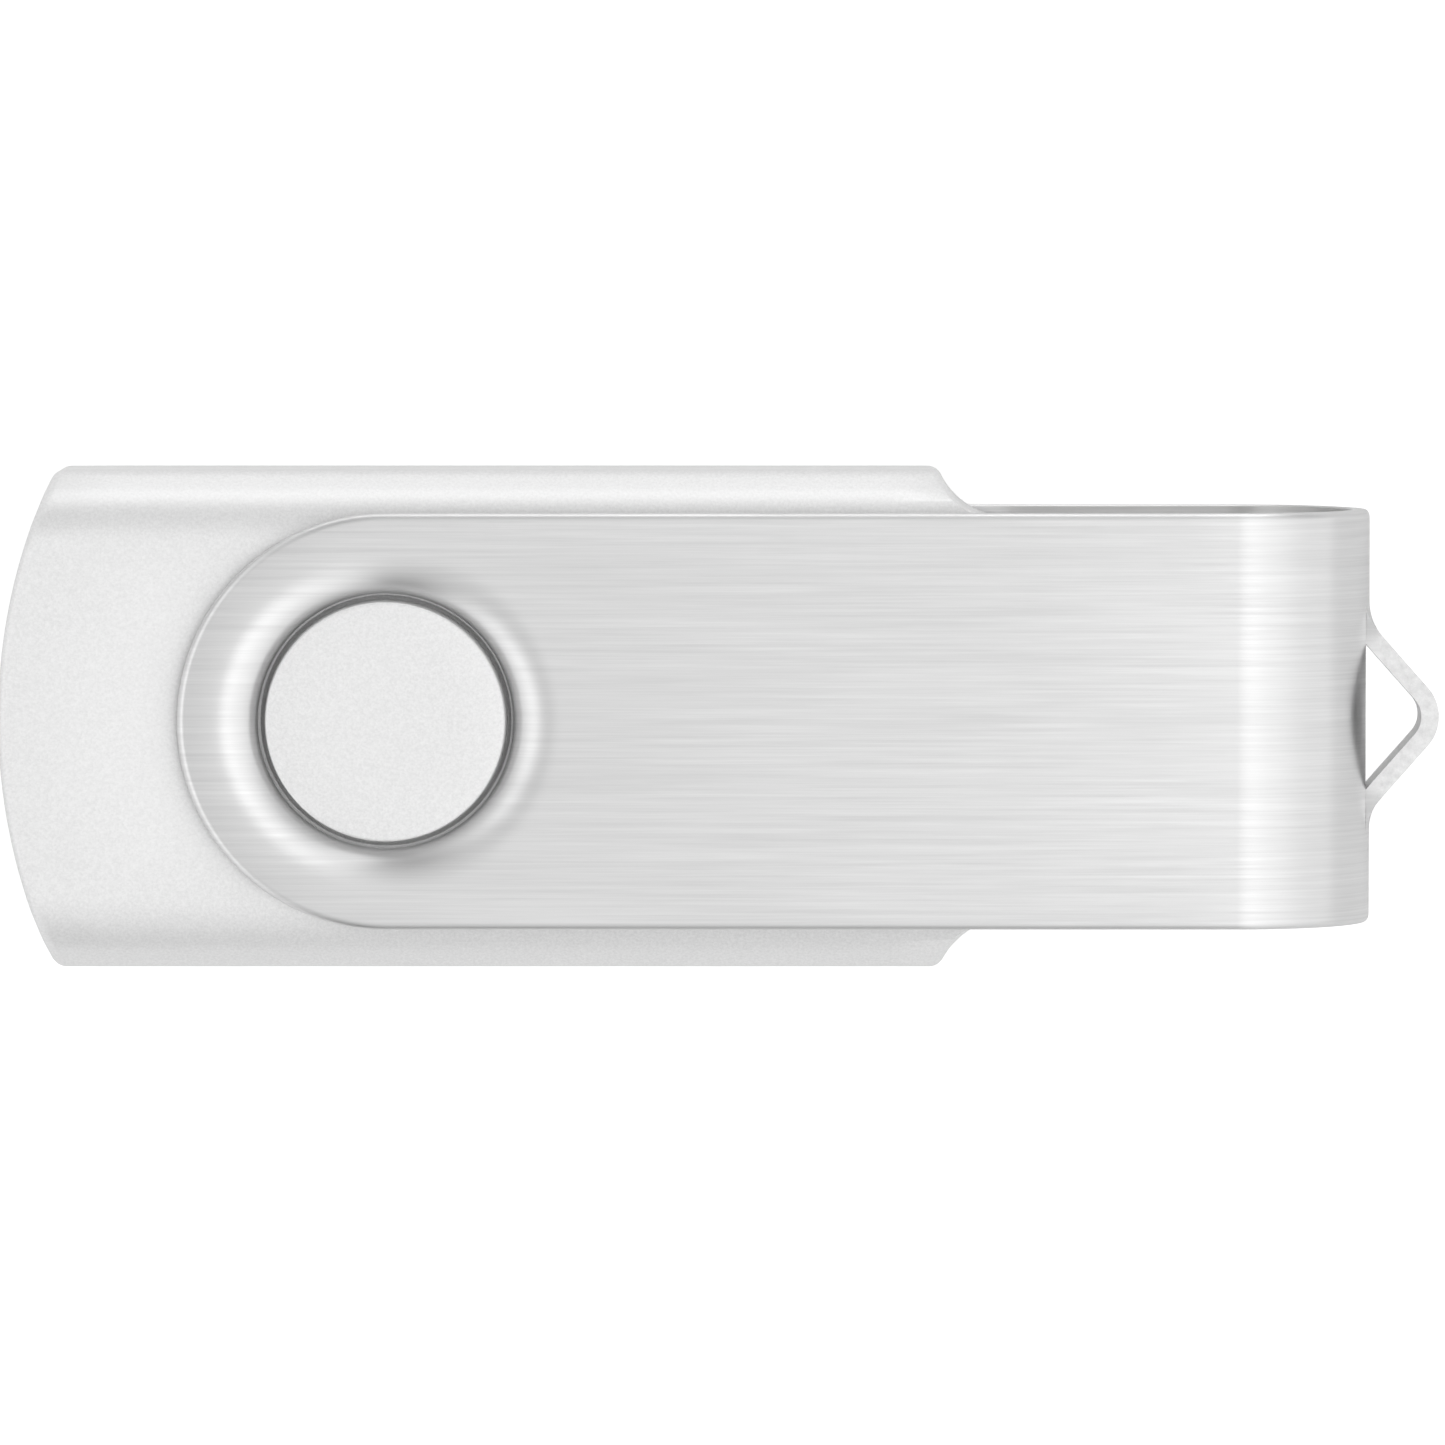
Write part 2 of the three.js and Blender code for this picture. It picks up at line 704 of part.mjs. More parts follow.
for (const [side, components] of [[topSide, onTop], [underside, underneath]]) {
  for (const [name, solid, material, x, y] of components) {
    place(name, solid, material, side).position.set(x, y, 0);
  }
}

export default part;
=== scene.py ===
"""A USB flash drive with a brushed swivel cover, on a pale studio floor.

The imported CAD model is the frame. The smooth pieces built here take their places from it, and stand for its
faceted solids. Shapes are worked out in millimetres and stored in metres.
"""

import json
import math

import bmesh
import bpy
from mathutils import Matrix, Vector, geometry


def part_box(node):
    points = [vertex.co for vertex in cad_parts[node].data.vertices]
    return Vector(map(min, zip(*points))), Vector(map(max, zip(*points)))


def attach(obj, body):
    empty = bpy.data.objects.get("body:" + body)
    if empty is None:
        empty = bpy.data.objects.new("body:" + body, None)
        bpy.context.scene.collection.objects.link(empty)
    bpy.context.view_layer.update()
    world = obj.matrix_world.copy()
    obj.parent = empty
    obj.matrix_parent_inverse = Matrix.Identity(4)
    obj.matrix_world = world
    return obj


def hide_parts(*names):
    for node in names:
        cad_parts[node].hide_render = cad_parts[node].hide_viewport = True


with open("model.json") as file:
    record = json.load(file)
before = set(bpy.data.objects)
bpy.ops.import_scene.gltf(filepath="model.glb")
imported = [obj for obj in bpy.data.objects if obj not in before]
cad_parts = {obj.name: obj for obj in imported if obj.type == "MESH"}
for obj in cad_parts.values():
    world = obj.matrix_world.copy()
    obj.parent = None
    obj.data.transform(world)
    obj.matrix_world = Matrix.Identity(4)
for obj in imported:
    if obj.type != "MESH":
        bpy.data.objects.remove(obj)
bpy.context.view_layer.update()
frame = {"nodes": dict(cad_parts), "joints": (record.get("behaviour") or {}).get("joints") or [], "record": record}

MM = 0.001  # metres in a millimetre
WELD = 1e-7  # in metres: points closer than this become one
LEVEL = 1e-6  # in millimetres: places closer than this count as the same
SHARP = 35  # degrees between two faces that keep a hard edge
FOLDED_SHARP = 40  # the same on the plug's shell and on the softened CAD pieces


# ---------------------------------------------------------------- sizes, in millimetres


def box_mm(node):
    """A CAD node's lowest and highest corners, in millimetres."""
    low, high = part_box(node)
    return low / MM, high / MM


_, COVER_HIGH = box_mm("swivel_cover")
FRONT_LOW, FRONT_HIGH = box_mm("case_front")
SHELL_LOW, SHELL_HIGH = box_mm("plug_shell")
PIVOT_X = frame["joints"][0]["pos_m"][0] / MM

MIDDLE = COVER_HIGH.z / 2  # height of the parting plane and of the bend's axis
BEND_R = MIDDLE  # outside of the bend
SHEET = 0.7  # thickness of the cover
INNER_R = BEND_R - SHEET
BEND_X = 20.35  # where the flat leaves end and the bend begins
COVER_HALF = COVER_HIGH.y

REAR_X = FRONT_LOW.x
NECK_X = FRONT_HIGH.x
BODY_HALF = FRONT_HIGH.y
FLAT_HALF = 6.95  # half the flat face's width
LEAF_GAP = 0.15  # between a leaf and the case's flat face
FACE = INNER_R - LEAF_GAP  # height of that face over the parting plane
EDGE_R = 3.0  # the face rounds over with this radius,
EDGE_TILT = 48  # turns this many degrees, runs down a straight slope,
SIDE_R = 1.0  # and turns with this radius into the upright side
EDGE_TURN = 90 - EDGE_TILT
EDGE_ROUND = 0.3  # where the face and the slopes meet the ends and the hollow shoulders
WALL = 1.2
CAVITY_FLAT_HALF = 7.2
CAVITY_RISE = 1.8  # how far the cavity's ceiling comes down at its long edges
CAVITY_FRONT_X = 5.6
REAR_R = 23.0
REAR_CORNER = 0.6
SHOULDER_R = 3.1  # of the hollow beside the front face
NECK_HALF = 7.75  # half width of the front face
SHOULDER_Y = NECK_HALF + SHOULDER_R
CREST_R = 0.6  # of the rounding between the hollow and the side
NECK_EDGE = 0.2
PARTING = 0.05  # half the gap between the halves
PARTING_BEVEL = 0.09
CUT_PAST = 1  # how far a cutter reaches past what it cuts
CHANNEL_GAP = 0.05  # between the plug and the case
CHANNEL_FLARE = 0.15
FLARE_PAST = 0.01

GROOVE_OUTER = 6.5
GROOVE_FLOOR_R = 6.1
GROOVE_DEPTH = 0.55
# How far three corners of the groove are cut off, along the radius and along the height.
GROOVE_LIP = (0.12, 0.05)
GROOVE_CORNER = (0.1, 0.05)
BOSS_FOOT = (0.15, 0.12)
BOSS_ROOT = 4.8
BOSS_TOP_R = 4.72
BOSS_EDGE = 0.1
BOSS_TOP = FRONT_HIGH.z - MIDDLE
BOSS_RINGS = (3.0, 1.2)  # circles that split up the boss's flat top
CORE_R = 3.5  # hollow inside of the boss
CORE_ROOF = 1.0

DISH_R = 6.9  # where the leaf turns down into the dish
DISH_WIDTH = 1.95  # the dish's profile is a quarter of a superellipse of this width,
DISH_HEIGHT = 1.25  # this height
DISH_POWER = 2.5  # and this power, and
DISH_END = 72.8  # stops at this many degrees
LIP_SHEET = 0.55  # thickness at the lip of the hole
LIP_SOFT = 0.6  # share of the way to the lip at which its last step lies
ROLL_WIDTH = 0.3  # of the rounding that shearing leaves on the sheet's outer edge
ROLL_DEPTH = 0.2
BURR = 0.05

STRIP_HALF = 1.5  # half the eyelet strip's width, along the thickness
EYELET_TURN = 41.5  # degrees between an arm and the line of the bend
EYELET_TIP_R = 1.4
EYELET_ROOT_R = 2.6
EYELET_KERF = 0.04


# ---------------------------------------------------------------- building meshes


def spread(first, last, steps):
    """Evenly spaced numbers from first to last, both included."""
    return [first + (last - first) * i / steps for i in range(steps + 1)]


def polar(x, y, radius, degrees):
    angle = math.radians(degrees)
    return x + radius * math.cos(angle), y + radius * math.sin(angle)


class Skin:
    """A closed surface in the making: points in millimetres, and faces between rows of them."""

    def __init__(self):
        self.points = []
        self.faces = []

    def row(self, points):
        first = len(self.points)
        self.points.extend(points)
        return list(range(first, len(self.points)))

    def band(self, a, b, closed=True):
        """Four-sided faces between two rows of the same length."""
        for i in range(len(a) if closed else len(a) - 1):
            j = (i + 1) % len(a)
            self.faces.append((a[i], a[j], b[j], b[i]))

    def bands(self, rows):
        for a, b in zip(rows, rows[1:]):
            self.band(a, b)

    def fill(self, *loops):
        """Triangles over a level region inside the first loop and outside the others."""
        index = [i for loop in loops for i in loop]
        flat = [Vector(self.points[i][:2]) for i in index]
        edges = []
        outlines = []
        for loop in loops:
            first = len(edges)
            edges += [(first + k, first + (k + 1) % len(loop)) for k in range(len(loop))]
            outlines.append(flat[first : first + len(loop)])
        _, _, faces, source, _, _ = geometry.delaunay_2d_cdt(flat, edges, [], 1, LEVEL)
        for face in faces:
            corners = [index[source[v][0]] for v in face]
            centre = sum((Vector(self.points[c][:2]) for c in corners), Vector((0, 0))) / len(corners)
            if sum(inside(centre, outline) for outline in outlines) % 2:
                self.faces.append(tuple(corners))

    def piece(self, name, sharp=SHARP):
        """The finished object, welded, with its faces outwards and its hard edges kept."""
        mesh = bpy.data.meshes.new(name)
        mesh.from_pydata([Vector(p) * MM for p in self.points], [], self.faces)
        tidy_mesh(mesh, sharp)
        obj = bpy.data.objects.new(name, mesh)
        bpy.context.scene.collection.objects.link(obj)
        return obj


def inside(point, outline):
    """Whether a point is inside a closed outline."""
    odd = False
    for a, b in zip(outline, outline[1:] + outline[:1]):
        if (a.y > point.y) != (b.y > point.y):
            if point.x < a.x + (point.y - a.y) / (b.y - a.y) * (b.x - a.x):
                odd = not odd
    return odd


def tidy_mesh(mesh, sharp):
    """Welds a mesh, turns its faces outwards and marks its hard edges."""
    bm = bmesh.new()
    bm.from_mesh(mesh)
    bmesh.ops.remove_doubles(bm, verts=bm.verts, dist=WELD)
    bmesh.ops.dissolve_degenerate(bm, edges=bm.edges, dist=WELD)
    loose = [v for v in bm.verts if not v.link_faces]
    bmesh.ops.delete(bm, geom=loose, context="VERTS")
    bmesh.ops.recalc_face_normals(bm, faces=bm.faces)
    bm.to_mesh(mesh)
    bm.free()
    mesh.shade_smooth()
    mesh.set_sharp_from_angle(angle=math.radians(sharp))


def carve(obj, cutters):
    """Cuts closed pieces out of an object and removes them."""
    for cutter in cutters:
        modifier = obj.modifiers.new("cut", "BOOLEAN")
        modifier.operation = "DIFFERENCE"
        modifier.solver = "EXACT"
        modifier.object = cutter
        bpy.context.view_layer.update()
        graph = bpy.context.evaluated_depsgraph_get()
        mesh = bpy.data.meshes.new_from_object(obj.evaluated_get(graph))
        obj.modifiers.clear()
        obj.data = mesh
        bpy.data.objects.remove(cutter)
    obj.data.name = obj.name
    tidy_mesh(obj.data, SHARP)


def settle(obj, body, slot, mat, *nodes):
    """Gives a new piece its material and its body, and hides the CAD nodes that it stands for."""
    obj.data.materials.clear()
    obj.data.materials.append(mat)
    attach(obj, body)
    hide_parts(*nodes)


# ---------------------------------------------------------------- case halves


# Places of the case's cross-section, as (y, z) over the parting plane.
SLOPE_TOP = Vector(polar(FLAT_HALF, FACE - EDGE_R, EDGE_R, EDGE_TURN))
SLOPE_FOOT_Y = BODY_HALF - SIDE_R + SIDE_R * math.cos(math.radians(EDGE_TURN))
SLOPE_FOOT_Z = SLOPE_TOP.y - (SLOPE_FOOT_Y - SLOPE_TOP.x) * math.tan(math.radians(EDGE_TILT))
SIDE_WALL = SLOPE_FOOT_Z - SIDE_R * math.sin(math.radians(EDGE_TURN))
# How many steps each curve or line is drawn with.
HOLLOW_STEPS, CREST_STEPS = 14, 8
FACE_STEPS, NECK_EDGE_STEPS = 5, 4
SIDE_STEPS = 16
CORNER_STEPS, REAR_STEPS = 6, 20
EDGE_STEPS, SLOPE_STEPS, FINE_STEPS = 10, 4, 14
FINE_FROM = 70  # degrees from which the edge's last bend into the flat face has finer steps
CAVITY_STEPS, CAVITY_FRONT_STEPS = 9, 3
RING_STEPS, CORE_STEPS, BOSS_EDGE_STEPS = 120, 60, 5


def under_skin(y, z):
    """How deep a place lies under the case's cross-section, and how far the skin faces upwards there."""
    y = abs(y)
    if y <= FLAT_HALF:
        return FACE - z, 1
    across, up = y - FLAT_HALF, z - (FACE - EDGE_R)
    if math.degrees(math.atan2(up, across)) >= EDGE_TURN:
        return EDGE_R - math.hypot(across, up), up / math.hypot(across, up)
    across, up = y - (BODY_HALF - SIDE_R), z - SIDE_WALL
    if up <= 0:
        return BODY_HALF - y, 0
    slope = Vector(polar(0, 0, 1, EDGE_TURN))
    if math.degrees(math.atan2(up, across)) <= EDGE_TURN:
        return SIDE_R - math.hypot(across, up), up / math.hypot(across, up)
    return (SLOPE_TOP - Vector((y, z))).dot(slope), slope.y


def rounding(y, z):
    """How far an upright wall is moved in, just under the skin that it meets."""
    depth, up = under_skin(y, z)
    left = EDGE_ROUND - min(max(depth, 0), EDGE_ROUND)
    return (EDGE_ROUND - math.sqrt(EDGE_ROUND**2 - left**2)) * up


def shoulder(half):
    """One level's outline as (x, y, outward x, outward y), from the front face over the hollow shoulder."""
    edge_x = NECK_X - NECK_EDGE
    reach = SHOULDER_R + CREST_R
    rise = SHOULDER_Y - (half - CREST_R)
    opened = min(max((half - NECK_HALF) / EDGE_ROUND, 0), 1)
    if rise >= reach:  # high up, the side runs straight on to the front face
        curve = [(edge_x, half, 0, 0)] * (HOLLOW_STEPS + 1 + CREST_STEPS)
    else:
        crest_x = NECK_X - math.sqrt(reach**2 - rise**2)
        start = -90 - math.degrees(math.asin(NECK_EDGE / SHOULDER_R))
        turn = min(math.degrees(math.atan2(-rise, crest_x - NECK_X)), start)
        curve = []
        for angle in spread(start, turn, HOLLOW_STEPS):
            curve.append((*polar(NECK_X, SHOULDER_Y, SHOULDER_R, angle), *polar(0, 0, -opened, angle)))
        for i, angle in enumerate(spread(turn + 180, 90, CREST_STEPS)):
            share = 1 - i / CREST_STEPS
            curve.append((*polar(crest_x, half - CREST_R, CREST_R, angle), *polar(0, 0, share, angle)))
        del curve[HOLLOW_STEPS + 1]
        curve = [(min(x, edge_x), y, out_x, out_y) for x, y, out_x, out_y in curve]
    edge_y = curve[0][1]
    face = [(NECK_X, y, 1, 0) for y in spread(0, edge_y - NECK_EDGE, FACE_STEPS)]
    round_edge = []
    for angle in spread(0, 90, NECK_EDGE_STEPS)[1:]:
        out_x, out_y = polar(0, 0, 1, angle)
        place = polar(edge_x, edge_y - NECK_EDGE, NECK_EDGE, angle)
        round_edge.append((*place, out_x, out_y * opened))
    return face + round_edge + curve


def rear(half, inset=0.0):
    """One level's outline, in the same form, from the side round the corner to the middle of the rear end."""
    radius = REAR_R - inset
    centre_x = REAR_X + REAR_R
    corner_y = half - REAR_CORNER
    corner_x = centre_x - math.sqrt((radius - REAR_CORNER) ** 2 - corner_y**2)
    turn = 180 - math.degrees(math.atan2(corner_y, centre_x - corner_x))
    around = []
    for i, angle in enumerate(spread(90, turn, CORNER_STEPS)):
        outward = polar(0, 0, i / CORNER_STEPS, angle)
        around.append((*polar(corner_x, corner_y, REAR_CORNER, angle), *outward))
    for angle in spread(turn, 180, REAR_STEPS)[1:]:
        around.append((*polar(centre_x, 0, radius, angle), *polar(0, 0, 1, angle)))
    return around


def whole_level(start, end):
    """A level's outline on both sides of the middle, from its front and rear parts on one side."""
    (x0, y0, *_), (x1, *_) = start[-1], end[0]
    side = [(x, y0, 0, 0) for x in spread(x0, x1, SIDE_STEPS)[1:-1]]
    upper = start + side + end
    return upper + [(x, -y, out_x, -out_y) for x, y, out_x, out_y in reversed(upper[1:-1])]


def case_level(half, z, bevel=0.0):
    """The case's outline at one height, with its ends and shoulders rounded where they meet the skin."""
    points = []
    for x, y, out_x, out_y in whole_level(shoulder(half), rear(half)):
        inset = bevel + rounding(y, z)
        points.append((x - out_x * inset, y - out_y * inset, z))
    return points


def case_levels():
    """The case's outlines, from the parting plane to the flat face."""
    levels = [case_level(BODY_HALF - PARTING_BEVEL, PARTING, PARTING_BEVEL)]
    levels += [case_level(BODY_HALF, z) for z in (PARTING + PARTING_BEVEL, SIDE_WALL / 2)]
    outline = [polar(BODY_HALF - SIDE_R, SIDE_WALL, SIDE_R, a) for a in spread(0, EDGE_TURN, EDGE_STEPS)]
    (foot_y, foot_z), (top_y, top_z) = outline[-1], SLOPE_TOP
    for share in spread(0, 1, SLOPE_STEPS)[1:-1]:
        outline.append((foot_y + (top_y - foot_y) * share, foot_z + (top_z - foot_z) * share))
    turns = spread(EDGE_TURN, FINE_FROM, EDGE_STEPS) + spread(FINE_FROM, 90, FINE_STEPS)[1:]
    outline += [polar(FLAT_HALF, FACE - EDGE_R, EDGE_R, a) for a in turns]
    return levels + [case_level(half, z) for half, z in outline]


def ring(radius, height, segments=RING_STEPS):
    """A level circle about the pivot."""
    return [(*polar(PIVOT_X, 0, radius, 360 * i / segments), height) for i in range(segments)]


def boss_rows():
    """(radius, height) from the case's face into the groove, up the boss and over its edge."""
    floor = FACE - GROOVE_DEPTH
    lip_r, lip_z = GROOVE_LIP
    corner_r, corner_z = GROOVE_CORNER
    foot_r, foot_z = BOSS_FOOT
    rows = [(GROOVE_OUTER + lip_r, FACE), (GROOVE_OUTER, FACE - lip_z)]
    rows += [(GROOVE_FLOOR_R + corner_z, floor + corner_z), (GROOVE_FLOOR_R - corner_r, floor)]
    rows += [(BOSS_ROOT + foot_r, floor), (BOSS_ROOT, floor + foot_z)]
    shoulder_r, shoulder_z = BOSS_TOP_R - BOSS_EDGE, BOSS_TOP - BOSS_EDGE
    rows += [polar(shoulder_r, shoulder_z, BOSS_EDGE, a) for a in spread(0, 90, BOSS_EDGE_STEPS)]
    return rows + [(radius, BOSS_TOP) for radius in BOSS_RINGS]


def prism_rows(skin, rows):
    """A closed solid between rows of points that lie level, with both ends filled."""
    skin.bands(rows)
    skin.faces.append(tuple(rows[0]))
    skin.faces.append(tuple(rows[-1]))


def cavity():
    """The hollow inside a half, with a ceiling that comes down at its long edges."""
    skin = Skin()
    wall_y, ceiling = BODY_HALF - WALL, FACE - WALL
    levels = [(wall_y, -CUT_PAST)]
    for angle in spread(0, 90, CAVITY_STEPS):
        around = math.radians(angle)
        half = CAVITY_FLAT_HALF + (wall_y - CAVITY_FLAT_HALF) * math.cos(around)
        levels.append((half, ceiling - CAVITY_RISE * (1 - math.sin(around))))
    rows = []
    for half, z in levels:
        front = [(CAVITY_FRONT_X, y, 0, 0) for y in spread(0, half, CAVITY_FRONT_STEPS)]
        rows.append(skin.row([(x, y, z) for x, y, *_ in whole_level(front, rear(half, WALL))]))
    prism_rows(skin, rows)
    return skin.piece("cavity_cutter")


def plug_channel():
    """The opening that the plug comes out of, with a small flare at its mouth."""
    skin = Skin()
    side, top = SHELL_HIGH.y + CHANNEL_GAP, SHELL_HIGH.z - MIDDLE + CHANNEL_GAP
    straight = [(CAVITY_FRONT_X - CUT_PAST, 0), (NECK_X - CHANNEL_FLARE, 0)]
    flared = [(NECK_X + FLARE_PAST, CHANNEL_FLARE), (NECK_X + CUT_PAST, CHANNEL_FLARE)]
    low = -CUT_PAST
    rows = []
    for x, wider in straight + flared:
        y, z = side + wider, top + wider
        rows.append(skin.row([(x, -y, low), (x, y, low), (x, y, z), (x, -y, z)]))
    prism_rows(skin, rows)
    return skin.piece("channel_cutter")


def boss_core():
    """The hollow inside the boss."""
    skin = Skin()
    prism_rows(skin, [skin.row(ring(CORE_R, z, CORE_STEPS)) for z in (-CUT_PAST, BOSS_TOP - CORE_ROOF)])
    return skin.piece("core_cutter")


def case_half(name):
    """One half of the case, over the parting plane, with its boss up and its inside hollow."""
    skin = Skin()
    rows = [skin.row(points) for points in case_levels()]
    skin.bands(rows)
    skin.fill(rows[0])
    rings = [skin.row(ring(r, z)) for r, z in boss_rows()]
    skin.bands(rings)
    skin.fill(rows[-1], rings[0])
    skin.fill(rings[-1])
    half = skin.piece(name)
    carve(half, [cavity(), plug_channel(), boss_core()])
    return half


def place_half(half, upwards):
    """Moves a half from the parting plane to its place in the frame, the right way up."""
    turn = Matrix.Identity(4) if upwards else Matrix.Rotation(math.pi, 4, "X")
    half.data.transform(Matrix.Translation((0, 0, MIDDLE * MM)) @ turn)


# ---------------------------------------------------------------- swivel cover

BEND_LENGTH = math.pi * BEND_R
LEAF_END = PIVOT_X - BEND_X  # flat place of the round ends' centre, measured from the bend's start
SLOT_ANGLE = math.degrees(math.asin(STRIP_HALF / BEND_R))
BEND_STEPS, SLOT_STEPS = 22, 8  # on each side of the slot, and over it
LEAF_STEPS, ROUND_END_STEPS, ROLL_STEPS, DISH_STEPS = 16, 60, 6, 18
ROOT_STEPS, ARM_STEPS, TIP_STEPS = 10, 4, 9
BEND_ANGLES = [*spread(90, SLOT_ANGLE, BEND_STEPS), *spread(SLOT_ANGLE, -SLOT_ANGLE, SLOT_STEPS)[1:]]
BEND_ANGLES += spread(-SLOT_ANGLE, -90, BEND_STEPS)[1:]
SLOT_FROM, SLOT_TO = BEND_STEPS, BEND_STEPS + SLOT_STEPS
BEND_LINES = [BEND_R * math.radians(90 - a) for a in BEND_ANGLES]


def strip_path():
    """Half of the eyelet strip, from root to tip, as (x, y, outward direction, share of the bend's curve)."""
    turn = math.radians(EYELET_TURN)
    root_x = BEND_X + BEND_R - SHEET / 2
    tip_x = COVER_HIGH.x - SHEET / 2 - EYELET_TIP_R
    arm_end = Vector(polar(tip_x, 0, EYELET_TIP_R, -EYELET_TURN))
    arm_start_x = root_x + EYELET_ROOT_R * (1 - math.cos(turn))
    arm_start_y = arm_end.y - (arm_end.x - arm_start_x) / math.tan(turn)
    root_y = arm_start_y - EYELET_ROOT_R * math.sin(turn)
    path = []
    for i, angle in enumerate(spread(180, 180 - EYELET_TURN, ROOT_STEPS)):
        x, y = polar(root_x + EYELET_ROOT_R, root_y, EYELET_ROOT_R, angle)
        share = i / ROOT_STEPS
        path.append((x, y, Vector(polar(0, 0, -1, angle)), 1 - share * share * (3 - 2 * share)))
    outward = Vector((math.cos(turn), -math.sin(turn)))
    for share in spread(0, 1, ARM_STEPS)[1:-1]:
        x = arm_start_x + (arm_end.x - arm_start_x) * share
        y = arm_start_y + (arm_end.y - arm_start_y) * share
        path.append((x, y, outward, 0))
    for angle in spread(-EYELET_TURN, 0, TIP_STEPS):
        x, y = polar(tip_x, 0, EYELET_TIP_R, angle)
        path.append((x, y, Vector(polar(0, 0, 1, angle)), 0))
    return path


STRIP_PATH = strip_path()
ROOT_Y = -STRIP_PATH[0][1]  # half length of the slot that the strip was pushed out of
CROSS_OUTER = 6.2
SLOT_CELLS = 6
CROSS_LINES = [-CROSS_OUTER, *spread(-ROOT_Y, ROOT_Y, SLOT_CELLS), CROSS_OUTER]
SLOT_CROSS = range(2, 2 + SLOT_CELLS)  # the slot's cells, counted from the sheet's edge


def sheet_point(along, across, depth):
    """A place on the bent sheet: along it from the bend's start, across it, and under its outer face."""
    if along <= 0:
        return BEND_X + along, across, MIDDLE + BEND_R - depth
    if along >= BEND_LENGTH:
        return BEND_X + BEND_LENGTH - along, across, MIDDLE - BEND_R + depth
    x, z = polar(BEND_X, MIDDLE, BEND_R - depth, 90 - math.degrees(along / BEND_R))
    return x, across, z


def perimeter(inset):
    """The sheet's edge, moved in, once round it from the bend's start on the +Y side over the front leaf."""
    half = COVER_HALF - inset
    front = [(a, half) for a in spread(0, LEAF_END, LEAF_STEPS)[:-1]]
    front += [polar(LEAF_END, 0, half, a) for a in spread(90, 270, ROUND_END_STEPS)]
    front += [(a, -half) for a in spread(LEAF_END, 0, LEAF_STEPS)[1:]]
    right = [(a, -half) for a in BEND_LINES[1:-1]]
    back = [(BEND_LENGTH - a, y) for a, y in reversed(front)]
    left = [(a, half) for a in reversed(BEND_LINES[1:-1])]
    return front + right + back + left, len(front)


def dish_rows():
    """(radius, depth) over the dished rim of a hole: down its outer face, and back along its inner face."""
    outer, inner = [], []
    for i, angle in enumerate(spread(0, DISH_END, DISH_STEPS)):
        around = math.radians(angle)
        u, v = math.sin(around) ** (2 / DISH_POWER), math.cos(around) ** (2 / DISH_POWER)
        place = Vector((DISH_R - DISH_WIDTH * u, DISH_HEIGHT * (1 - v)))
        slope = (u ** (DISH_POWER - 1) / DISH_WIDTH, v ** (DISH_POWER - 1) / DISH_HEIGHT)
        under = Vector(slope).normalized()
        outer.append(tuple(place))
        inner.append(tuple(place + under * (SHEET + (LIP_SHEET - SHEET) * i / DISH_STEPS)))
    lip, under = Vector(outer[-1]), Vector(inner[-1])
    edge = (under - lip).normalized() * BURR
    outer[-1] = tuple(lip + edge)
    outer[-2] = tuple(Vector(outer[-2]).lerp(lip, LIP_SOFT))
    return outer + inner[::-1]


def skin_face(skin, depth, edge, front_count, rings):
    """One face of the sheet, inside its edge row and round its dished rims. Gives its lines over the bend."""
    total = len(edge)
    lines = []
    for k, along in enumerate(BEND_LINES):
        across = skin.row([sheet_point(along, y, depth) for y in CROSS_LINES])
        lines.append([edge[front_count - 1 + k], *across, edge[-k % total]])
    for k, (a, b) in enumerate(zip(lines, lines[1:])):
        for j in range(len(a) - 1):
            if not (SLOT_FROM <= k < SLOT_TO and j in SLOT_CROSS):
                skin.faces.append((a[j], a[j + 1], b[j + 1], b[j]))
    back_first = front_count - 1 + len(BEND_LINES) - 1
    front = edge[:front_count] + lines[0][1:-1]
    back = edge[back_first : back_first + front_count] + lines[-1][-2:0:-1]
    skin.fill(front, rings[0])
    skin.fill(back, rings[1])
    return lines


def eyelet(skin, outer, inner):
    """The strip between the two ends of its slot, and the slot's own walls."""
    first, last = SLOT_CROSS[0], SLOT_CROSS[-1] + 1
    columns = range(SLOT_FROM, SLOT_TO + 1)

    def root(j):
        return [outer[k][j] for k in columns] + [inner[k][j] for k in reversed(columns)]

    def section(x, y, outward, curve):
        points = []
        narrow = 1 - EYELET_KERF / STRIP_HALF * (1 - curve)
        for face, radius, order in ((1, BEND_R, columns), (-1, INNER_R, reversed(columns))):
            for k in order:
                angle = math.radians(BEND_ANGLES[k])
                out = face * SHEET / 2 - curve * radius * (1 - math.cos(angle))
                wide = (BEND_R + (radius - BEND_R) * curve) * math.sin(angle) * narrow
                points.append((x + outward.x * out, y + outward.y * out, MIDDLE + wide))
        return points

    near = [section(*place) for place in STRIP_PATH[1:]]
    far = [[(x, -y, z) for x, y, z in points] for points in reversed(near[:-1])]
    rows = [root(first), *[skin.row(points) for points in near + far], root(last)]
    skin.bands(rows)
    for k in (SLOT_FROM, SLOT_TO):
        skin.band(outer[k][first : last + 1], inner[k][first : last + 1], closed=False)


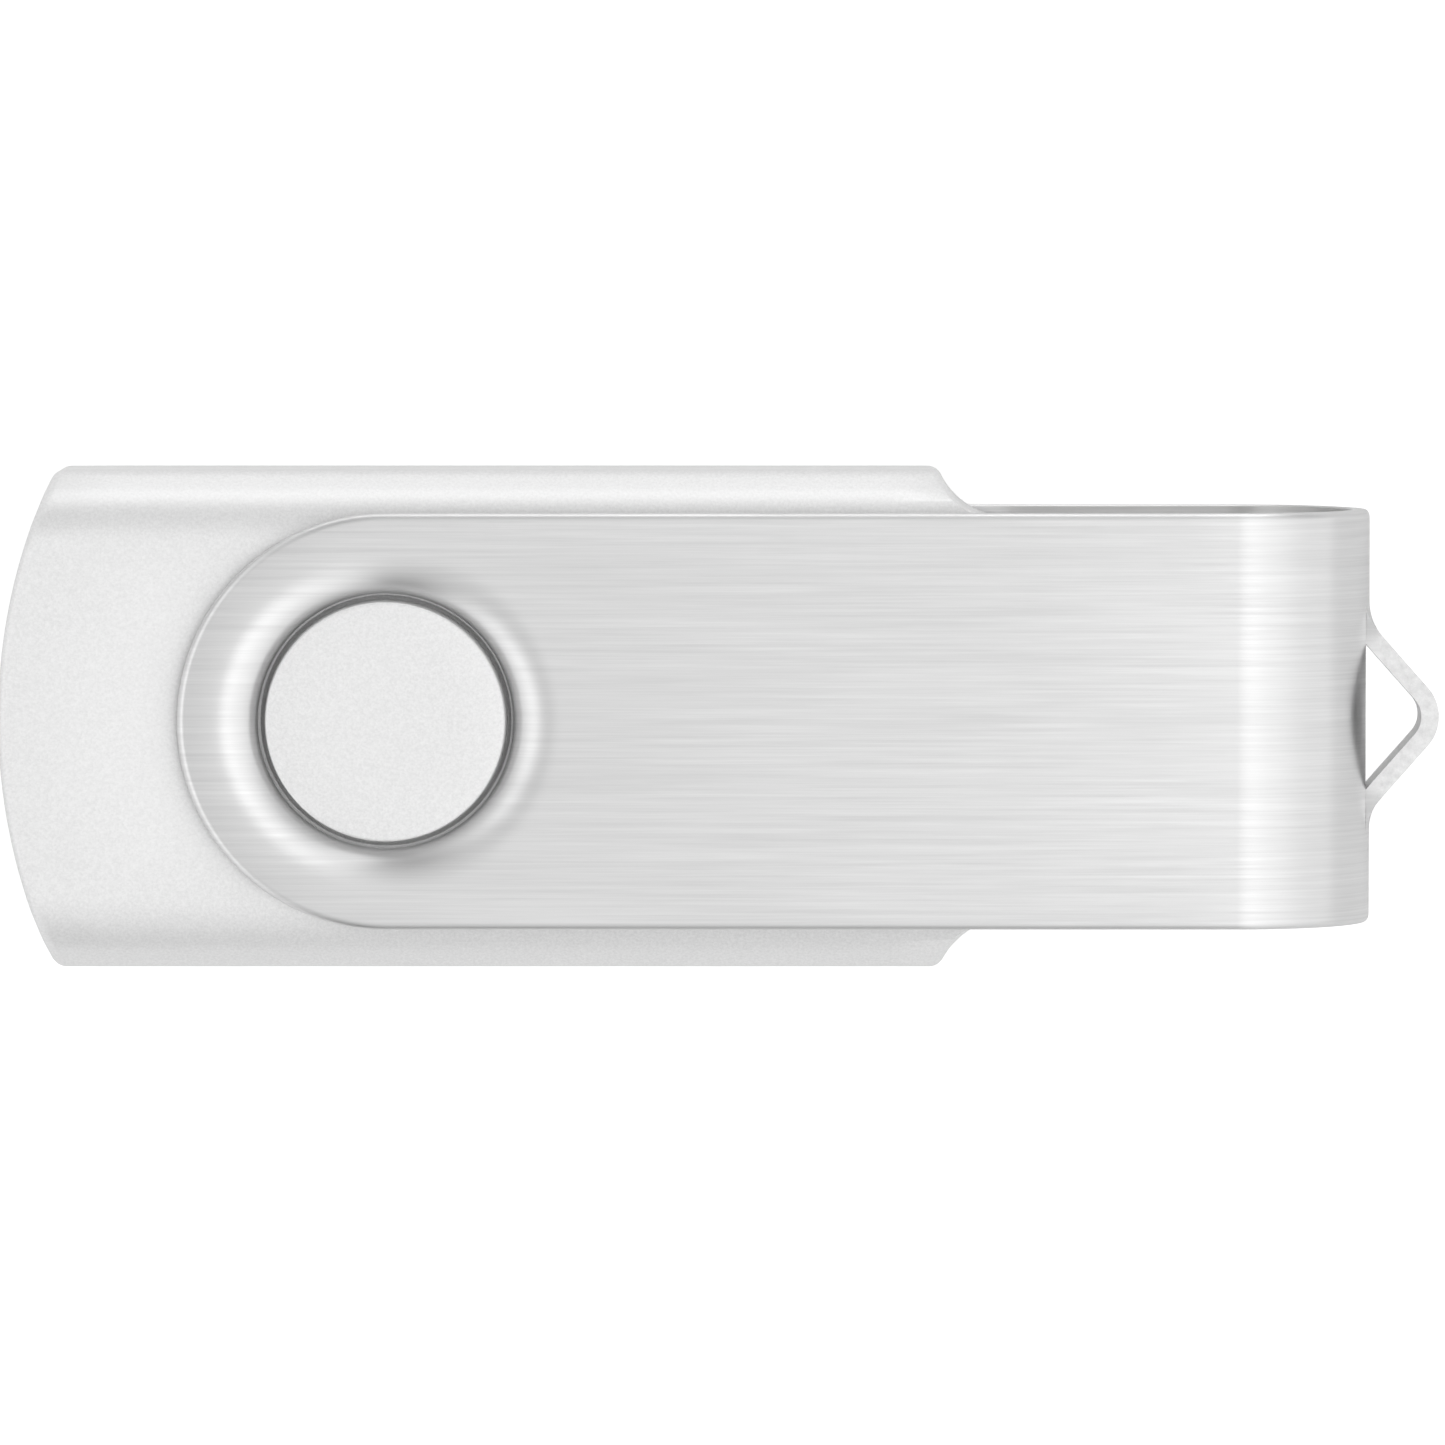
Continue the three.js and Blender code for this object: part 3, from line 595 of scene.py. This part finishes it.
def swivel_cover():
    """The whole cover: both leaves, the bend, the dished holes and the eyelet, as one closed surface."""
    skin = Skin()
    profile = []
    for angle in spread(0, 90, ROLL_STEPS):
        around = math.radians(angle)
        profile.append((ROLL_WIDTH * (1 - math.sin(around)), ROLL_DEPTH * (1 - math.cos(around))))
    profile += [(0, SHEET - BURR), (BURR, SHEET)]
    edges = []
    for inset, depth in profile:
        outline, front_count = perimeter(inset)
        edges.append(skin.row([sheet_point(a, y, depth) for a, y in outline]))
    skin.bands(edges)
    rims = {"front": [], "back": []}
    for radius, depth in dish_rows():
        rims["front"].append(skin.row(ring(radius, COVER_HIGH.z - depth)))
        rims["back"].append(skin.row(ring(radius, depth)))
    for rows in rims.values():
        skin.bands(rows)
    outer = skin_face(skin, 0, edges[0], front_count, [rows[0] for rows in rims.values()])
    inner = skin_face(skin, SHEET, edges[-1], front_count, [rows[-1] for rows in rims.values()])
    eyelet(skin, outer, inner)
    return skin.piece("swivel_cover_sheet")


# ---------------------------------------------------------------- plug

PLUG_WALL = 0.3
PLUG_CORNER = 0.5
SEAM = 0.03  # half the gap where the rolled shell's edges meet
WINDOW_Y = (1.65, 4.15)
WINDOW_BACK = (7.16, 5.16)  # the windows' ends, back from the tip
WINDOW_X = tuple(SHELL_HIGH.x - back for back in WINDOW_BACK)
PLUG_REAR_X = 5.2
PLUG_CORNER_STEPS = 5
TAB_TOP = 0.25  # over the parting plane
# The plug's mouth, as (back from the tip, how far the outside draws in, how far the inside opens).
PLUG_MOUTH = ((0.5, 0, 0), (0.2, 0.02, 0), (0.06, 0.07, 0), (0, 0.13, 0.04))
INSULATOR_EDGE = 0.06  # widths of the bevels on the softened copies
CONTACT_EDGE = 0.03
BEVEL_STEPS = 2
BEVEL_FROM = 30  # degrees between two faces whose edge is bevelled
FLAT_WITHIN = 1  # degrees between two faces that become one


def plug_section():
    """(y, z, outward direction) round the plug from one edge of its seam to the other."""
    half, height = SHELL_HIGH.y, SHELL_HIGH.z - MIDDLE
    y0, z0 = half - PLUG_CORNER, height - PLUG_CORNER
    up, side = Vector((0, 1)), Vector((1, 0))
    quarter = [(y, height, up) for y in (SEAM, *WINDOW_Y)]

    def corner(z, first, last):
        places = []
        for a in spread(first, last, PLUG_CORNER_STEPS):
            places.append((*polar(y0, z, PLUG_CORNER, a), Vector(polar(0, 0, 1, a))))
        return places

    right = [*quarter, *corner(z0, 90, 0), (half, TAB_TOP, side), *corner(-z0, 0, -90)]
    right += [(y, -height, -up) for y in reversed(WINDOW_Y)]
    left = [(-y, z, Vector((-n.x, n.y))) for y, z, n in reversed(right)]
    return right + left


def plug_shell():
    """The rolled steel shell: a bent sheet with four windows, a seam along the top and two solder tabs."""
    skin = Skin()
    section = plug_section()
    stations = [(x, 0, 0) for x in (SHELL_LOW.x, PLUG_REAR_X, *WINDOW_X)]
    stations += [(SHELL_HIGH.x - back, lead, flare) for back, lead, flare in PLUG_MOUTH]
    faces = []
    for is_inner in (False, True):
        rows = []
        for x, lead, flare in stations:
            inward = PLUG_WALL - flare if is_inner else lead
            rows.append(skin.row([(x, y - n.x * inward, MIDDLE + z - n.y * inward) for y, z, n in section]))
        faces.append(rows)
    outer, inner = faces

    def kept(i, j):
        """Whether the sheet covers the cell between stations i and i + 1 and section points j and j + 1."""
        if not (0 <= i < len(stations) - 1 and 0 <= j < len(section) - 1):
            return False
        (y0, z0, _), (y1, z1, _) = section[j], section[j + 1]
        if stations[i][0] < PLUG_REAR_X:
            return abs(y0 - y1) < LEVEL and max(z0, z1) <= TAB_TOP + LEVEL
        level_wall = abs(z0 - z1) < LEVEL
        if stations[i][0] == WINDOW_X[0] and level_wall:
            return not WINDOW_Y[0] < abs(y0 + y1) / 2 < WINDOW_Y[1]
        return True

    for i in range(len(stations) - 1):
        for j in range(len(section) - 1):
            if not kept(i, j):
                continue
            corners = ((i, j), (i, j + 1), (i + 1, j + 1), (i + 1, j))
            skin.faces.append(tuple(outer[a][b] for a, b in corners))
            skin.faces.append(tuple(inner[a][b] for a, b in reversed(corners)))
            beside = ((i - 1, j, 0, 1), (i, j + 1, 1, 2), (i + 1, j, 2, 3), (i, j - 1, 3, 0))
            for a, b, m, n in beside:
                if not kept(a, b):
                    (p, q), (r, s) = corners[m], corners[n]
                    skin.faces.append((outer[p][q], outer[r][s], inner[r][s], inner[p][q]))
    return skin.piece("plug_shell_rolled", sharp=FOLDED_SHARP)


def softened(node, width):
    """A copy of a CAD node with its hard edges rounded."""
    obj = bpy.data.objects.new(node + "_moulded", frame["nodes"][node].data.copy())
    bpy.context.scene.collection.objects.link(obj)
    bm = bmesh.new()
    bm.from_mesh(obj.data)
    bmesh.ops.remove_doubles(bm, verts=bm.verts, dist=WELD)
    flat = math.radians(FLAT_WITHIN)
    bmesh.ops.dissolve_limit(bm, angle_limit=flat, verts=bm.verts, edges=bm.edges)
    limit = math.radians(BEVEL_FROM)
    hard = [e for e in bm.edges if len(e.link_faces) == 2 and e.calc_face_angle() > limit]
    bmesh.ops.bevel(bm, geom=hard, offset=width * MM, segments=BEVEL_STEPS, profile=0.5, affect="EDGES")
    bm.to_mesh(obj.data)
    bm.free()
    tidy_mesh(obj.data, FOLDED_SHARP)
    return obj


# ---------------------------------------------------------------- materials

# The colour sockets of a Mix node stand after those of its other data types.
MIX_A, MIX_B, MIX_RESULT = 6, 7, 2


class Shader:
    """A Principled material, with short ways to add and link nodes."""

    def __init__(self, name, **constants):
        self.material = bpy.data.materials.new(name)
        self.material.use_nodes = True
        self.tree = self.material.node_tree
        self.shader = self.tree.nodes["Principled BSDF"]
        for key, value in constants.items():
            self.shader.inputs[key.replace("_", " ")].default_value = value

    def node(self, kind, inputs=(), **settings):
        made = self.tree.nodes.new("ShaderNode" + kind)
        for key, value in settings.items():
            setattr(made, key, value)
        for key, value in dict(inputs).items():
            self.put(made.inputs[key], value)
        return made

    def put(self, socket, value):
        """Links a node's first output, or an output, or sets a constant."""
        if isinstance(value, bpy.types.Node):
            value = value.outputs[0]
        if isinstance(value, bpy.types.NodeSocket):
            self.tree.links.new(value, socket)
        else:
            socket.default_value = value

    def place(self, scale=(1, 1, 1)):
        """Places on the object, in metres, stretched."""
        where = self.node("TexCoord").outputs["Object"]
        return self.node("Mapping", {"Vector": where, "Scale": scale})

    def noise(self, where, scale, detail=2.0, rough=0.5):
        inputs = {"Vector": where, "Scale": scale, "Detail": detail, "Roughness": rough}
        return self.node("TexNoise", inputs).outputs["Fac"]

    def between(self, value, low, high, from_low=0.3, from_high=0.7):
        """Maps a value to a range, clamped. Noise mostly lies in the range that it maps from."""
        inputs = {"Value": value, "From Min": from_low, "From Max": from_high}
        return self.node("MapRange", {**inputs, "To Min": low, "To Max": high})

    def math(self, operation, a, b=0.0):
        return self.node("Math", {0: a, 1: b}, operation=operation)

    def lengthwise(self, coordinates):
        """The X of a place, in the object's metres or as a share of its box."""
        where = self.node("TexCoord").outputs[coordinates]
        return self.node("SeparateXYZ", {"Vector": where}).outputs["X"]

    def mix(self, share, a, b):
        made = self.node("Mix", data_type="RGBA")
        self.put(made.inputs[0], share)
        self.put(made.inputs[MIX_A], a)
        self.put(made.inputs[MIX_B], b)
        return made.outputs[MIX_RESULT]

    def colour(self, value):
        self.put(self.shader.inputs["Base Color"], value)

    def roughness(self, value):
        self.put(self.shader.inputs["Roughness"], value)

    def bump(self, height, strength, distance):
        inputs = {"Height": height, "Strength": strength, "Distance": distance}
        self.put(self.shader.inputs["Normal"], self.node("Bump", inputs))


def grey(value):
    return value, value, value, 1.0


def silver_paint():
    """Satin silver paint: metal flakes as fine light and dark specks, and a faint waviness."""
    s = Shader("silver_paint", Metallic=0.3, IOR=1.5)
    flakes = s.noise(s.place(), scale=9000, detail=3.0, rough=0.7)
    s.colour(s.mix(s.between(flakes, 0, 1), grey(0.73), grey(0.85)))
    s.roughness(s.between(flakes, 0.35, 0.43))
    s.bump(s.noise(s.place(), scale=4500), strength=0.22, distance=0.02 * MM)
    return s.material


COVER_APEX_X = BEND_X + BEND_R  # past this, only the eyelet strip is left
SHEARED_FADE = 0.4
FINE_STRETCH = (0.015, 1, 0.015)  # the streaks are long along the sheet and round the bend
BROAD_STRETCH = (0.03, 1, 0.03)
BROAD_SHARE = 0.12
STREAK_ACROSS = {"X": 0.02, "Y": 1.0, "Z": 0.02}  # just off the Y axis, so that no face lies square to it
ROLLING_STRETCH = (0.15, 1, 1)


def brushed_aluminium():
    """Aluminium brushed along the sheet and round the bend, with a mottled eyelet strip."""
    s = Shader("brushed_aluminium", Metallic=1.0, Anisotropic=0.75)
    fine = s.noise(s.place(FINE_STRETCH), scale=9000, detail=3.0, rough=0.65)
    broad = s.noise(s.place(BROAD_STRETCH), scale=2500)
    fine_part = s.math("MULTIPLY", fine, 1 - BROAD_SHARE)
    streaks = s.math("ADD", fine_part, s.math("MULTIPLY", broad, BROAD_SHARE))
    brushed = s.mix(s.between(streaks, 0, 1), grey(0.70), grey(0.79))
    torn = s.noise(s.place(), scale=3500, detail=4.0, rough=0.7)
    sheared = s.mix(s.between(torn, 0, 1), grey(0.66), grey(0.82))
    strip_x = COVER_APEX_X * MM, (COVER_APEX_X + SHEARED_FADE) * MM
    on_strip = s.between(s.lengthwise("Object"), 0, 1, *strip_x)
    s.colour(s.mix(on_strip, brushed, sheared))
    s.roughness(s.between(streaks, 0.42, 0.34))
    s.bump(streaks, strength=0.12, distance=0.01 * MM)
    across = {"Vector": s.node("CombineXYZ", STREAK_ACROSS)}
    spaces = {"convert_from": "OBJECT", "convert_to": "WORLD"}
    tangent = s.node("VectorTransform", across, vector_type="VECTOR", **spaces)
    s.put(s.shader.inputs["Tangent"], tangent)
    return s.material


def plated(name, light, dark, rough):
    """Plated metal with faint rolling marks."""
    s = Shader(name, Metallic=1.0)
    marks = s.noise(s.place(ROLLING_STRETCH), scale=6000, rough=0.6)
    s.colour(s.mix(s.between(marks, 0, 1), (*dark, 1), (*light, 1)))
    s.roughness(s.between(marks, rough, rough + 0.04))
    s.bump(marks, strength=0.02, distance=0.005 * MM)
    return s.material


def moulded(name, light, dark, rough):
    """Moulded plastic or resin with a fine, dull grain."""
    s = Shader(name)
    grain = s.noise(s.place(), scale=3000, detail=4.0, rough=0.65)
    s.colour(s.mix(s.between(grain, 0, 1), (*dark, 1), (*light, 1)))
    s.roughness(s.between(grain, rough - 0.06, rough + 0.06))
    s.bump(grain, strength=0.15, distance=0.02 * MM)
    return s.material


def solder_mask():
    """Green lacquer over glass cloth, with paler tracks under it."""
    s = Shader("solder_mask")
    weave = {"Vector": s.place(), "Scale": 900.0, "Distortion": 2.0}
    cloth = s.node("TexWave", weave).outputs["Fac"]
    routes = {"Vector": s.place(), "Scale": 500.0, "Mortar Size": 0.06}
    tracks = s.node("TexBrick", routes).outputs["Fac"]
    base = s.mix(s.between(cloth, 0, 1), (0.010, 0.090, 0.035, 1), (0.014, 0.120, 0.045, 1))
    s.colour(s.mix(tracks, base, (0.030, 0.220, 0.080, 1)))
    s.roughness(s.between(cloth, 0.26, 0.36))
    s.bump(tracks, strength=0.2, distance=0.03 * MM)
    return s.material


def with_metal_ends(name, light, dark, rough, end):
    """A body with tinned metal over a share of its length at each end, for leads and solder caps."""
    s = Shader(name)
    grain = s.noise(s.place(), scale=4000, detail=4.0, rough=0.65)
    from_middle = s.math("ABSOLUTE", s.math("SUBTRACT", s.lengthwise("Generated"), 0.5))
    metal = s.math("GREATER_THAN", from_middle, 0.5 - end)
    body = s.mix(s.between(grain, 0, 1), (*dark, 1), (*light, 1))
    tin = s.mix(s.between(grain, 0, 1), grey(0.55), grey(0.68))
    s.colour(s.mix(metal, body, tin))
    s.put(s.shader.inputs["Metallic"], metal)
    s.roughness(s.between(grain, rough - 0.05, rough + 0.05))
    s.bump(grain, strength=0.1, distance=0.02 * MM)
    return s.material


# ---------------------------------------------------------------- pieces

paint = silver_paint()
front_half = case_half("case_front_half")
place_half(front_half, upwards=True)
settle(front_half, "body", "case_paint", paint, "case_front")
back_half = case_half("case_back_half")
place_half(back_half, upwards=False)
settle(back_half, "body", "case_paint", paint, "case_back")

settle(swivel_cover(), "cover", "cover_aluminium", brushed_aluminium(), "swivel_cover")

nickel = plated("nickel_plate", (0.74, 0.73, 0.70), (0.70, 0.69, 0.66), rough=0.24)
settle(plug_shell(), "body", "plug_steel", nickel, "plug_shell")

black_plastic = moulded("insulator_black", (0.030, 0.030, 0.032), (0.018, 0.018, 0.020), rough=0.45)
insulator = softened("plug_insulator", INSULATOR_EDGE)
settle(insulator, "body", "insulator_plastic", black_plastic, "plug_insulator")
gold = plated("gold_plate", (0.90, 0.66, 0.28), (0.82, 0.58, 0.22), rough=0.22)
for node in ("contact_power", "contact_data_minus", "contact_data_plus", "contact_ground"):
    settle(softened(node, CONTACT_EDGE), "body", "contact_gold", gold, node)

LEAD_SHARE, CAP_SHARE = 0.04, 0.19  # of the length, at each end
RESIN = (0.035, 0.035, 0.036), (0.02, 0.02, 0.021)
LAMP = (0.80, 0.86, 0.60), (0.74, 0.80, 0.54)
GLAZE = (0.03, 0.03, 0.033), (0.02, 0.02, 0.022)
CERAMIC = (0.42, 0.30, 0.19), (0.36, 0.25, 0.15)
inner_looks = {
    "board_laminate": solder_mask(),
    "chip_resin": with_metal_ends("chip_resin_and_leads", *RESIN, rough=0.5, end=LEAD_SHARE),
    "crystal_can": plated("crystal_lid", (0.70, 0.69, 0.66), (0.60, 0.59, 0.56), rough=0.3),
    "lamp_resin": with_metal_ends("lamp_resin_and_ends", *LAMP, rough=0.2, end=CAP_SHARE),
    "resistor_body": with_metal_ends("resistor_glaze_and_ends", *GLAZE, rough=0.4, end=CAP_SHARE),
    "capacitor_ceramic": with_metal_ends("capacitor_and_ends", *CERAMIC, rough=0.5, end=CAP_SHARE),
}
for row in frame["record"]["subparts"]:
    if row["material_slot"] in inner_looks:
        data = frame["nodes"][row["node"]].data
        data.materials.clear()
        data.materials.append(inner_looks[row["material_slot"]])


# ---------------------------------------------------------------- studio

FLOOR_R = 4000
FLOOR_DROP = 0.01  # keeps the cover's back leaf out of the floor's own plane
FLOOR_TURN = 10  # degrees between the floor's corners
FLOOR_GLOW = 0.5  # what the floor adds to the picture, but not to the light on the drive
FLOOR_BOUNCE = 0.03  # what it adds to both


def floor():
    """A wide, pale, level floor that shines a little."""
    skin = Skin()
    rim = [(*polar(0, 0, FLOOR_R, a), -FLOOR_DROP) for a in range(0, 360, FLOOR_TURN)]
    skin.faces.append(tuple(skin.row(rim)))
    obj = skin.piece("floor")
    s = Shader("floor_white", Roughness=0.9, Emission_Color=grey(1.0))
    s.colour(s.mix(s.noise(s.place(), scale=40), grey(0.80), grey(0.82)))
    glow = s.math("ADD", s.math("MULTIPLY", s.node("LightPath"), FLOOR_GLOW), FLOOR_BOUNCE)
    s.put(s.shader.inputs["Emission Strength"], glow)
    obj.data.materials.append(s.material)


# The light, as (lean, radiance), across the drive towards +Y and along it towards +X. The lean is how far a
# direction leans that way: 0 is straight overhead and 1 is level with the floor.
ACROSS = [
    (-1.0, 0.0),  # nothing level with the floor on the near side
    (-0.6, 0.55),  # a reflector along the near edge
    (-0.3, 0.8),
    (0.1, 1.0),  # the wide overhead panel
    (0.5, 0.2),
    (0.8, 0.0),  # a dark gap behind it
    (1.0, 2.2),  # a window beyond the far edge
]
ALONG = [
    (-1.0, 0.1),  # a dim wall past the rear end
    (-0.5, 0.6),  # a small panel on that side
    (-0.2, 0.0),  # the dark round the camera
    (0.0, 0.0),
    (0.1, 0.8),  # the wide panel past the eyelet
    (0.5, 0.5),
    (1.0, 0.2),
]
BRIGHTEST = 2.2  # radiance of a ramp's white


def ramp(tree, value, stops):
    """A smooth curve through the stops, read at a direction's lean from -1 to 1."""
    place = tree.nodes.new("ShaderNodeMapRange")
    place.inputs["From Min"].default_value = -1
    tree.links.new(value, place.inputs["Value"])
    made = tree.nodes.new("ShaderNodeValToRGB")
    tree.links.new(place.outputs[0], made.inputs["Fac"])
    made.color_ramp.interpolation = "EASE"
    elements = made.color_ramp.elements
    while len(elements) < len(stops):
        elements.new(0.5)
    for element, (lean, radiance) in zip(elements, stops):
        element.position = (lean + 1) / 2
        element.color = grey(radiance / BRIGHTEST)
    return made.outputs["Color"]


def studio():
    """The room's light: one ramp across the drive and one along it, added up."""
    world = bpy.data.worlds.new("studio")
    world.use_nodes = True
    tree = world.node_tree
    where = tree.nodes.new("ShaderNodeTexCoord").outputs["Generated"]
    lean = tree.nodes.new("ShaderNodeSeparateXYZ")
    tree.links.new(where, lean.inputs[0])
    both = tree.nodes.new("ShaderNodeMix")
    both.data_type, both.blend_type = "RGBA", "ADD"
    both.inputs[0].default_value = 1.0
    tree.links.new(ramp(tree, lean.outputs["X"], ALONG), both.inputs[MIX_A])
    tree.links.new(ramp(tree, lean.outputs["Y"], ACROSS), both.inputs[MIX_B])
    background = tree.nodes["Background"]
    background.inputs["Strength"].default_value = BRIGHTEST
    tree.links.new(both.outputs[MIX_RESULT], background.inputs["Color"])
    bpy.context.scene.world = world
    bpy.context.scene.view_settings.view_transform = "Standard"


CAMERA_DISTANCE = 505.0
CAMERA_TILT = 2.95  # degrees from straight above, towards +Y
FRAME_WIDTH = 57.48  # what the picture spans at the middle of the drive's thickness
AIM = Vector((0.08, -0.30, MIDDLE))
SENSOR_WIDTH = 36.0
CLIP = 0.01, 20.0  # in metres


def camera():
    """A long lens, almost straight above the drive."""
    data = bpy.data.cameras.new("camera")
    data.sensor_width = SENSOR_WIDTH
    data.lens = SENSOR_WIDTH * CAMERA_DISTANCE / FRAME_WIDTH
    data.clip_start, data.clip_end = CLIP
    obj = bpy.data.objects.new("camera", data)
    bpy.context.scene.collection.objects.link(obj)
    tilt = math.radians(CAMERA_TILT)
    back = Vector((0, math.sin(tilt), math.cos(tilt)))
    obj.location = (AIM + back * CAMERA_DISTANCE) * MM
    obj.rotation_euler = (-tilt, 0, 0)
    bpy.context.scene.camera = obj


floor()
studio()
camera()
